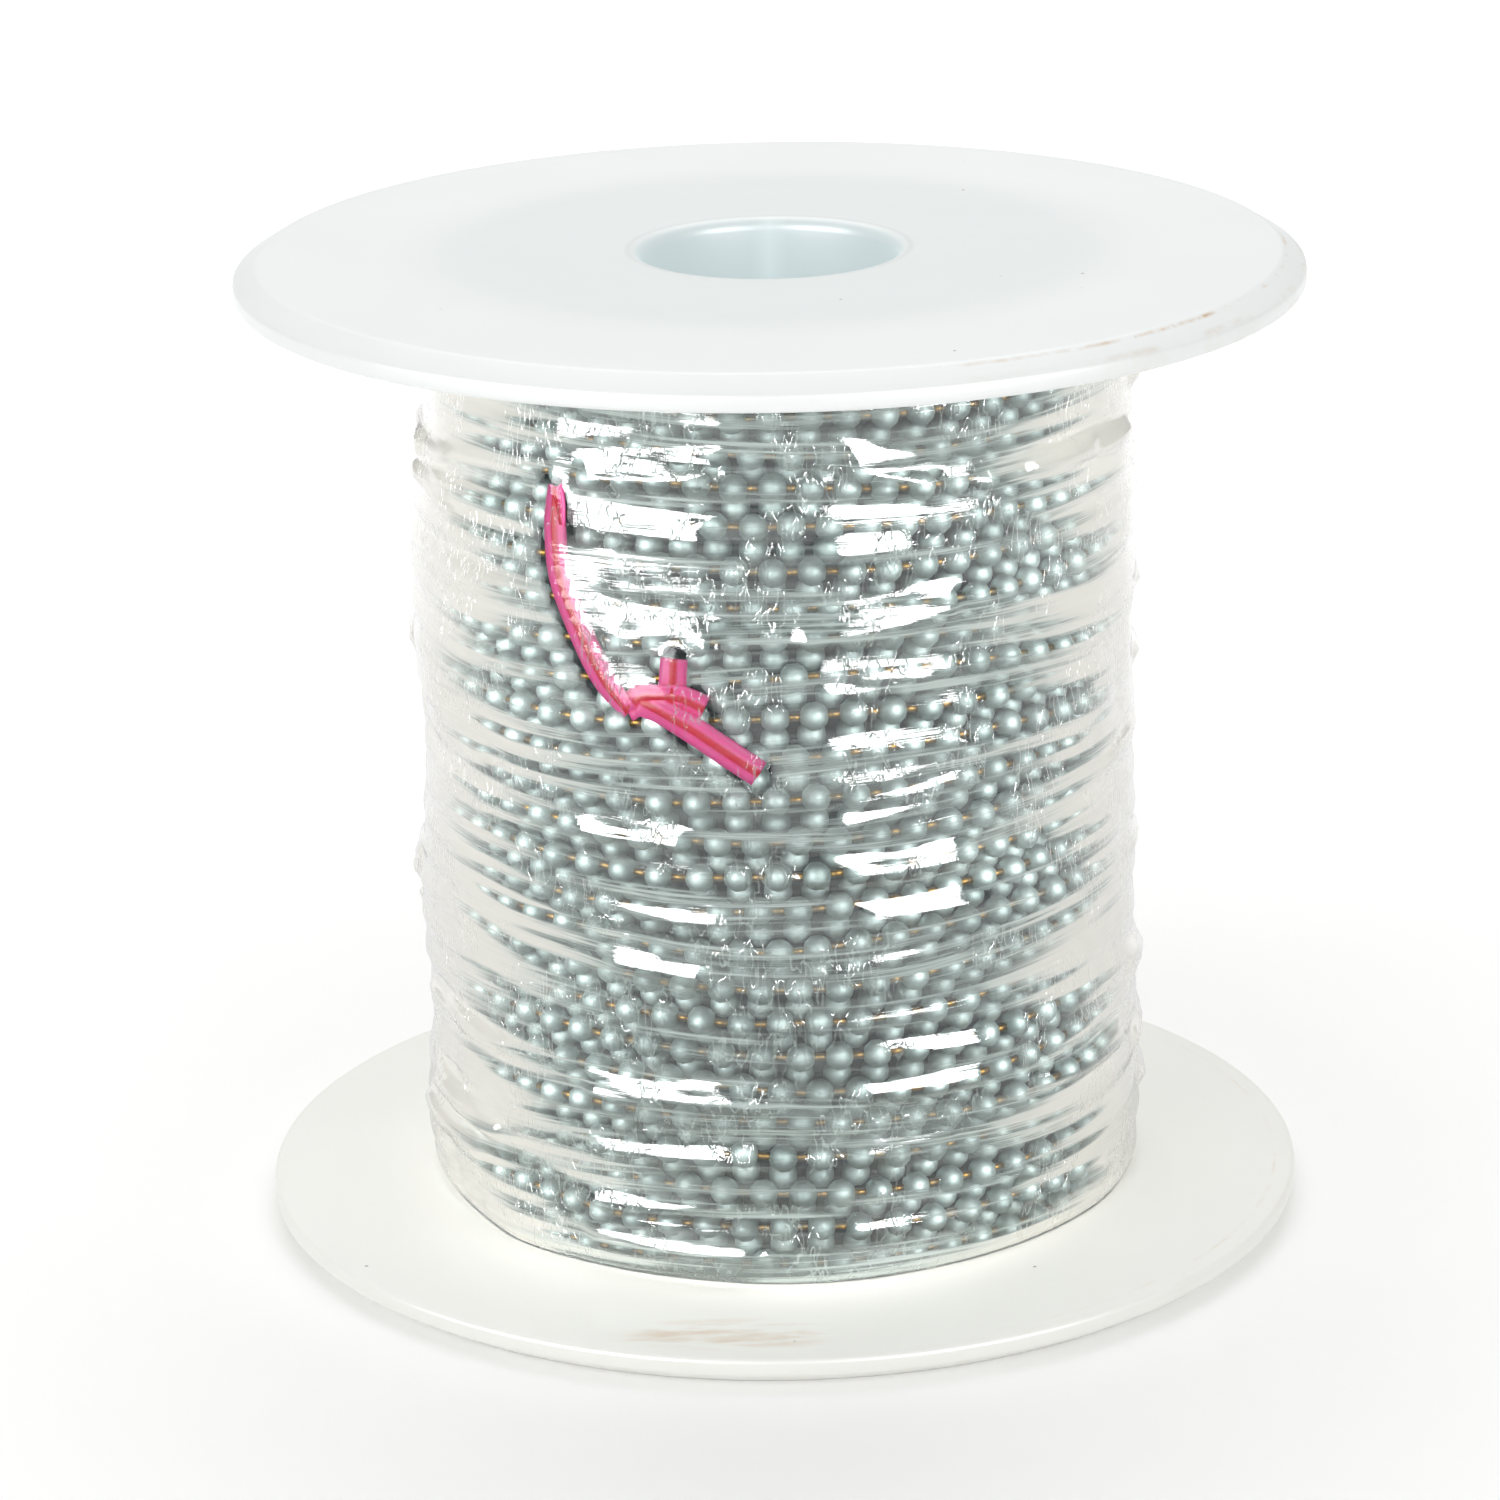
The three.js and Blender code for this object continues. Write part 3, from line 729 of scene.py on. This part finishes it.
class SPOOL_OT_tie(bpy.types.Operator):
    """Lays the twist tie's strips over the chain"""
    bl_idname = "spool.tie"
    bl_label = "Twist tie"

    def execute(self, context):
        settings = context.scene.tie_settings
        bm = bmesh.new()
        bm.verts.layers.float.new("across")
        for route in TIE_ROUTES:
            strip = pattern_of(tie_strip(settings, route))
            bm.from_mesh(strip)
            bpy.data.meshes.remove(strip)
        new_piece("tie_strip", bm, [tie_plastic(settings)], "twist_tie")
        return {"FINISHED"}


# The film all but touches the flanges
FILM_FACE_GAP = 0.1 * MM
# Space from the film's outer side to its inner side while its wall is spun
FILM_WALL = 0.9 * MM
# How far the film's inner side lies within the winding's own outline
FILM_BACK = 0.5 * MM
# The film sags furthest this far up from one row to the next
SAG_SHARE = 0.68
# How far the film is drawn in where it meets a flange, and over what height
FOOT_DEPTH = 0.8 * MM
FOOT_HEIGHT = 1.6 * MM
# Height of the film's long soft folds
SOFT_FOLDS = 0.13 * MM
# Over the tie: the film's gap, how near it follows and eases out, and the height and reach of its low ridge
TIE_LIFT = 0.1 * MM
TIE_NEAR = 2.3 * MM
TIE_EASE = 6 * MM
TIE_RIDGE = 0.75 * MM
TIE_RIDGE_REACH = 3 * MM
# Milkiness: everywhere, on the left, at both sides, in patches, where they stand off the balls, at the lower
# end, where the film is gathered at the upper right, and its least and most
HAZE = 0.09
HAZE_LEFT = 0.1
HAZE_SIDES = 0.1
HAZE_PATCH = 0.42
HAZE_LOOSE = 0.3
HAZE_LOW_END = 0.35
HAZE_GATHER = 0.25
HAZE_LEAST, HAZE_MOST = 0.05, 0.9
# Folds drawn tight over two rows, which lean back and catch the soft boxes: angle, height, half length, slant
# over that, width
FOLDS = (
    (-110, 133.9, 9.9, 0.8, 4.7), (-112, 125.3, 10.5, -0.5, 4.4), (-109, 109.6, 7.8, -0.9, 6.6),
    (-113, 78.3, 7, -0.2, 3.4), (-112, 65.1, 12.8, 0.4, 3.4), (-109, 57.6, 6, -0.4, 3.4),
    (-107, 36.7, 13.3, 0.2, 3.9), (-106, 26.6, 12.9, 0.5, 2.5), (-110, 18.7, 10.8, 0.6, 3.1),
    (-108, 12.5, 12.5, -0.4, 4.6), (-104, 140.1, 6, 0.1, 1.6), (-71, 133.5, 5.1, -1.5, 4.7),
    (-76, 122, 4.6, 0, 2.5), (-74, 111.6, 10.5, 1.2, 5.2), (-75, 100.8, 7, 0.1, 1.9),
    (-72, 82.6, 9.1, 1.2, 3.7), (-74, 73.4, 11.5, 0.2, 4.1), (-67, 65.8, 8.7, 0.1, 3.4),
    (-72, 58.2, 9.6, 1, 2.3), (-63, 43.3, 9.6, -0.7, 2.2), (-68, 37.4, 8.7, 0.2, 2.5),
    (-71, 28.1, 5.7, 0.8, 2.2), (-78, 14.1, 10.2, 0.6, 2.2), (-56, 89.8, 3.3, -0.3, 1.6),
    (-136, 11.9, 9.7, 1.7, 1.6),
)
FOLD_LEAN = math.tan(math.radians(19))
# Share of a fold's depth by which it stands out, so that no ball comes through it
FOLD_OUT = 0.6


def far_folds():
    """Folds like those in front for the rest of the way round."""
    draw = np.random.default_rng(29)
    return [(draw.uniform(-45, 215), up + draw.uniform(-3, 3), draw.uniform(6, 15), draw.uniform(-1, 1),
             draw.uniform(1.6, 4.6))
            for up in np.linspace(12, 142, 60)]


def folded(angle, height):
    """How far the tight folds stand out or lie in."""
    out = 0
    frayed = 0.5 * waves(angle, height, 47, 16 * MM, 3 * MM)
    for degrees, up, half, slant, width in (*FOLDS, *far_folds()):
        along = (np.mod(angle - math.radians(degrees) + math.pi, TURN) - math.pi) * WINDING_RADIUS / MM
        rise = height / MM - up - slant * along / half + frayed
        reach = width / 2
        lean = np.clip(rise, -reach, reach) - FOLD_OUT * reach
        above = np.clip(1 - (rise - reach) / 1.2, 0, 1)
        below = np.clip(1 + (rise + reach) / 2.2, 0, 1)
        window = smooth((half + 4 - np.abs(along)) / 3.5)
        out = out - FOLD_LEAN * lean * np.minimum(above, below) * window
    return out * MM


def film_shape(settings, ball, angle, height):
    """Radius of the film, taut over the rows and sagging between, and how far off the balls it is."""
    pitch = row_pitch()
    level = (height - wander(angle, height) - LOW_FACE) / pitch - climbed(angle) - 0.5
    row = np.floor(level)
    share = level - row
    below, under, over, above = (row_crest(angle, row + step, ball) for step in (-1, 0, 1, 2))
    slack = 0.35 + 0.25 * waves(angle, row_height(angle, row), 23, 65 * MM, 9 * MM)
    slack = slack * (0.2 + 0.8 * smooth((tie_distance(angle, height) - 4 * MM) / (16 * MM)))
    drawn_in = np.minimum(share / SAG_SHARE, (1 - share) / (1 - SAG_SHARE))
    drawn_in = drawn_in - 0.12 * np.cos(math.pi * drawn_in / 2) ** 4 * drawn_in
    sag = settings.ridge * slack * drawn_in
    taut = under + (over - under) * share
    bridges = np.maximum(below + (over - below) * (1 + share) / 2, under + (above - under) * share / 2)
    radius = np.maximum(taut - sag, bridges - 0.6 * sag)
    stand_off = radius - (taut - 0.6 * MM * np.sin(math.pi * share))
    ends = smooth(from_flange(height) / (4 * MM))
    folds = SOFT_FOLDS * waves(angle, height - wander(angle, height), 41, 90 * MM, 5 * MM)
    foot = FOOT_DEPTH * (1 - smooth(from_flange(height) / FOOT_HEIGHT))
    return radius + ends * (folds + folded(angle, height)) - foot, stand_off


class SPOOL_OT_film(bpy.types.Operator):
    """Spins the film's wall and draws it over the rows and the tie"""
    bl_idname = "spool.film"
    bl_label = "Stretch film"

    def execute(self, context):
        settings = context.scene.film_settings
        ball = context.scene.chain_settings.ball
        low, high = LOW_FACE + FILM_FACE_GAP, HIGH_FACE - FILM_FACE_GAP
        side = np.linspace(low, high, settings.up + 1)
        back = np.linspace(high, low, 7)
        points = [(WINDING_RADIUS, z) for z in side] + [(WINDING_RADIUS - FILM_WALL, z) for z in back]
        bm = spun(points, settings.around)
        for face in bm.faces:
            middle = face.calc_center_median()
            side_face = math.hypot(middle.x, middle.y) > WINDING_RADIUS - FILM_WALL * 0.1
            face.material_index = int(not side_face)
        plastics = [film_plastic(settings), film_back()]
        mesh = new_piece("film_wrap", bm, plastics, "stretch_film").data
        place = np.zeros(len(mesh.vertices) * 3)
        mesh.vertices.foreach_get("co", place)
        x, y, z = place.reshape(-1, 3).T
        angle = np.arctan2(y, x)
        outside = np.hypot(x, y) > WINDING_RADIUS - FILM_WALL / 2
        radius, stand_off = film_shape(settings, ball, angle, z)
        off_tie = tie_distance(angle, z)
        near_tie = smooth(1 - (off_tie - TIE_NEAR) / TIE_EASE)
        over_tie = winding_radius(angle, z) - FILM_GAP + TIE_LIFT
        ridge = TIE_RIDGE * np.clip(1 - off_tie / TIE_RIDGE_REACH, 0, 1)
        radius = radius + near_tie * (over_tie - radius) + ridge + FILM_THICKNESS
        radius = np.where(outside, radius, winding_radius(angle, z) - FILM_BACK)
        mesh.vertices.foreach_set("co", polar(radius, angle, z).ravel())
        laid = z - wander(angle, z)
        wide = waves(angle, laid, 31, 75 * MM, 9 * MM)
        narrow = waves(angle, laid, 53, 45 * MM, 3.6 * MM)
        patch = smooth(0.5 + 1.1 * wide + 0.9 * narrow)
        sides = smooth((np.abs(x) - 22 * MM) / (30 * MM))
        ends = 1 - smooth((z - LOW_FACE) / (10 * MM))
        left = smooth(0.5 - x / (60 * MM))
        gather = np.hypot((angle - math.radians(-36)) * WINDING_RADIUS / (15 * MM),
                          (z - 138 * MM) / (8 * MM))
        bunched = (HAZE_PATCH + HAZE_LOOSE * smooth(stand_off / (1.1 * MM))) * patch
        haze = HAZE + HAZE_LEFT * left + HAZE_SIDES * sides + bunched + HAZE_LOW_END * ends
        haze = haze + HAZE_GATHER * np.exp(-gather ** 2)
        on_tie = smooth((3.3 * MM - off_tie) / (1.1 * MM))
        haze = np.clip(haze * (1 - on_tie), HAZE_LEAST, HAZE_MOST)
        mesh.attributes.new("haze", "FLOAT", "POINT").data.foreach_set("value", haze)
        level = z - wander(angle, z) - 2.5 * MM * waves(angle, z, 37, 150 * MM, 60 * MM)
        mesh.attributes.new("level", "FLOAT", "POINT").data.foreach_set("value", level)
        mesh.update()
        return {"FINISHED"}


def aim(thing, eye, target, roll=0.0):
    """Puts a lamp or camera at eye, looking at target, turned on its own line by roll."""
    looking = (Vector(target) - Vector(eye)).to_track_quat("-Z", "Y").to_matrix().to_4x4()
    thing.matrix_world = Matrix.Translation(eye) @ looking @ Matrix.Rotation(roll, 4, "Z")


def on_sphere(distance, azimuth, elevation, centre):
    """A point round the centre: azimuth 0 is in front, and grows to the right."""
    a, e = math.radians(azimuth), math.radians(elevation)
    return centre + distance * Vector((math.sin(a) * math.cos(e), -math.cos(a) * math.cos(e), math.sin(e)))


# Camera, from the outlines of both flanges in the 1500 pixel frame
FRAME_PIXELS = 1500
TARGET_PIXEL = (777.3, 723.8)
CAMERA_DISTANCE = 850.7 * MM
CAMERA_ELEVATION = 18.0
CAMERA_ROLL = -0.99
FOCAL_PIXELS = 5372
# Soft boxes: name, azimuth, elevation, size, then radiance for matt surfaces and for gloss
SOFT_BOXES = (
    ("Left soft box", -46, 16, (0.95, 0.75), 1.2, 22),
    ("Right soft box", 39, 16, (0.7, 0.75), 1.2, 22),
    ("Back soft box", 180, 60, (0.9, 0.9), 1.8, 1.8),
)
FILL_STRENGTH = 0.5
FLOOR_RADIUS = 8


class SPOOL_OT_stage(bpy.types.Operator):
    """Adds the camera, the pale floor, the soft boxes and the studio's fill light"""
    bl_idname = "spool.stage"
    bl_label = "Stage"

    def execute(self, context):
        scene = context.scene
        scene.view_settings.view_transform = "Standard"
        middle = Vector((0, 0, SPOOL_HEIGHT / 2))
        lens = bpy.data.cameras.new("Camera")
        lens.sensor_width = 36
        lens.lens = FOCAL_PIXELS / FRAME_PIXELS * lens.sensor_width
        lens.shift_x = (FRAME_PIXELS / 2 - TARGET_PIXEL[0]) / FRAME_PIXELS
        lens.shift_y = (TARGET_PIXEL[1] - FRAME_PIXELS / 2) / FRAME_PIXELS
        camera = bpy.data.objects.new("Camera", lens)
        scene.collection.objects.link(camera)
        eye = on_sphere(CAMERA_DISTANCE, 0, CAMERA_ELEVATION, middle)
        aim(camera, eye, middle, math.radians(CAMERA_ROLL))
        scene.camera = camera
        # Each soft box is a dim lamp for matt surfaces, and a bright one a little before it that gloss mirrors
        for name, azimuth, elevation, size, matt, gloss in SOFT_BOXES:
            kinds = (("matt", matt, 1.0, 1, 0), ("gloss", gloss, 0.98, 0.75, 3))
            for kind, radiance, away, tall, lift in kinds:
                lamp = bpy.data.lights.new(f"{name}, {kind}", "AREA")
                lamp.shape = "RECTANGLE"
                lamp.size, lamp.size_y = size[0], size[1] * tall
                lamp.energy = math.pi * radiance * lamp.size * lamp.size_y
                holder = bpy.data.objects.new(lamp.name, lamp)
                holder.visible_diffuse = kind == "matt"
                holder.visible_glossy = kind == "gloss"
                scene.collection.objects.link(holder)
                aim(holder, on_sphere(away, azimuth, elevation + lift, middle), middle)
        self.add_world(scene)
        self.add_floor(scene)
        return {"FINISHED"}

    def add_world(self, scene):
        """An even pale studio."""
        world = bpy.data.worlds.new("Studio")
        world.use_nodes = True
        tree = world.node_tree
        tree.nodes.clear()
        fill = add(tree, "Background", {"Color": (1, 1, 1, 1), "Strength": FILL_STRENGTH})
        add(tree, "OutputWorld", {"Surface": fill.outputs["Background"]})
        scene.world = world

    def add_floor(self, scene):
        """A white painted board, mottled at 330 mm, whiter to the camera and in gloss than to matt surfaces."""
        material, tree, place = new_material("Painted board, white")
        grain = add(tree, "TexNoise", {"Vector": place, "Scale": 3, "Detail": 2}).outputs["Fac"]
        tint = add(tree, "Mix", {"Factor": grain, 6: opaque(linear("F4F4F3")), 7: opaque(linear("F8F8F7"))},
                   data_type="RGBA")
        paint = add(tree, "BsdfDiffuse", {"Color": tint.outputs[2]}).outputs["BSDF"]
        away = add(tree, "VectorMath", {0: place}, operation="LENGTH").outputs["Value"]
        lift = add(tree, "MapRange", {"Value": away, "From Min": 0.1, "From Max": 0.7, "To Min": 0.14,
                                      "To Max": 0.7}).outputs["Result"]
        glow = add(tree, "Emission", {"Color": (1, 1, 1, 1), "Strength": lift}).outputs["Emission"]
        path = add(tree, "LightPath")
        seen = path.outputs["Is Camera Ray"]
        for ray in ("Is Glossy Ray", "Is Transmission Ray"):
            seen = add(tree, "Math", {0: seen, 1: path.outputs[ray]}, operation="MAXIMUM").outputs["Value"]
        both = add(tree, "AddShader", {0: paint, 1: glow}).outputs["Shader"]
        mixed = add(tree, "MixShader", {"Fac": seen, 1: paint, 2: both}).outputs["Shader"]
        add(tree, "OutputMaterial", {"Surface": mixed})
        bm = bmesh.new()
        bmesh.ops.create_circle(bm, cap_ends=True, segments=64, radius=FLOOR_RADIUS)
        mesh = bpy.data.meshes.new("Floor")
        bm.to_mesh(mesh)
        bm.free()
        mesh.materials.append(material)
        floor = bpy.data.objects.new("Floor", mesh)
        scene.collection.objects.link(floor)


class SPOOL_PT_panel(bpy.types.Panel):
    """Lists the steps that build the spool"""
    bl_label = "Ball chain spool"
    bl_idname = "SPOOL_PT_panel"
    bl_space_type = "VIEW_3D"
    bl_region_type = "UI"
    bl_category = "Spool"

    def draw(self, context):
        for step in STEPS:
            self.layout.operator(step.bl_idname)


SETTINGS = {
    "spool_settings": SpoolSettings,
    "chain_settings": ChainSettings,
    "tie_settings": TieSettings,
    "film_settings": FilmSettings,
}
STEPS = (SPOOL_OT_stage, SPOOL_OT_moulding, SPOOL_OT_chain, SPOOL_OT_tie, SPOOL_OT_film)


def register():
    for settings in SETTINGS.values():
        bpy.utils.register_class(settings)
    for name, settings in SETTINGS.items():
        setattr(bpy.types.Scene, name, PointerProperty(type=settings))
    for step in STEPS:
        bpy.utils.register_class(step)
    bpy.utils.register_class(SPOOL_PT_panel)


def unregister():
    bpy.utils.unregister_class(SPOOL_PT_panel)
    for step in reversed(STEPS):
        bpy.utils.unregister_class(step)
    for name in SETTINGS:
        delattr(bpy.types.Scene, name)
    for settings in reversed(SETTINGS.values()):
        bpy.utils.unregister_class(settings)


def main():
    register()
    bpy.ops.spool.stage()
    bpy.ops.spool.moulding()
    bpy.ops.spool.chain()
    bpy.ops.spool.tie()
    bpy.ops.spool.film()


if __name__ == "__main__":
    main()
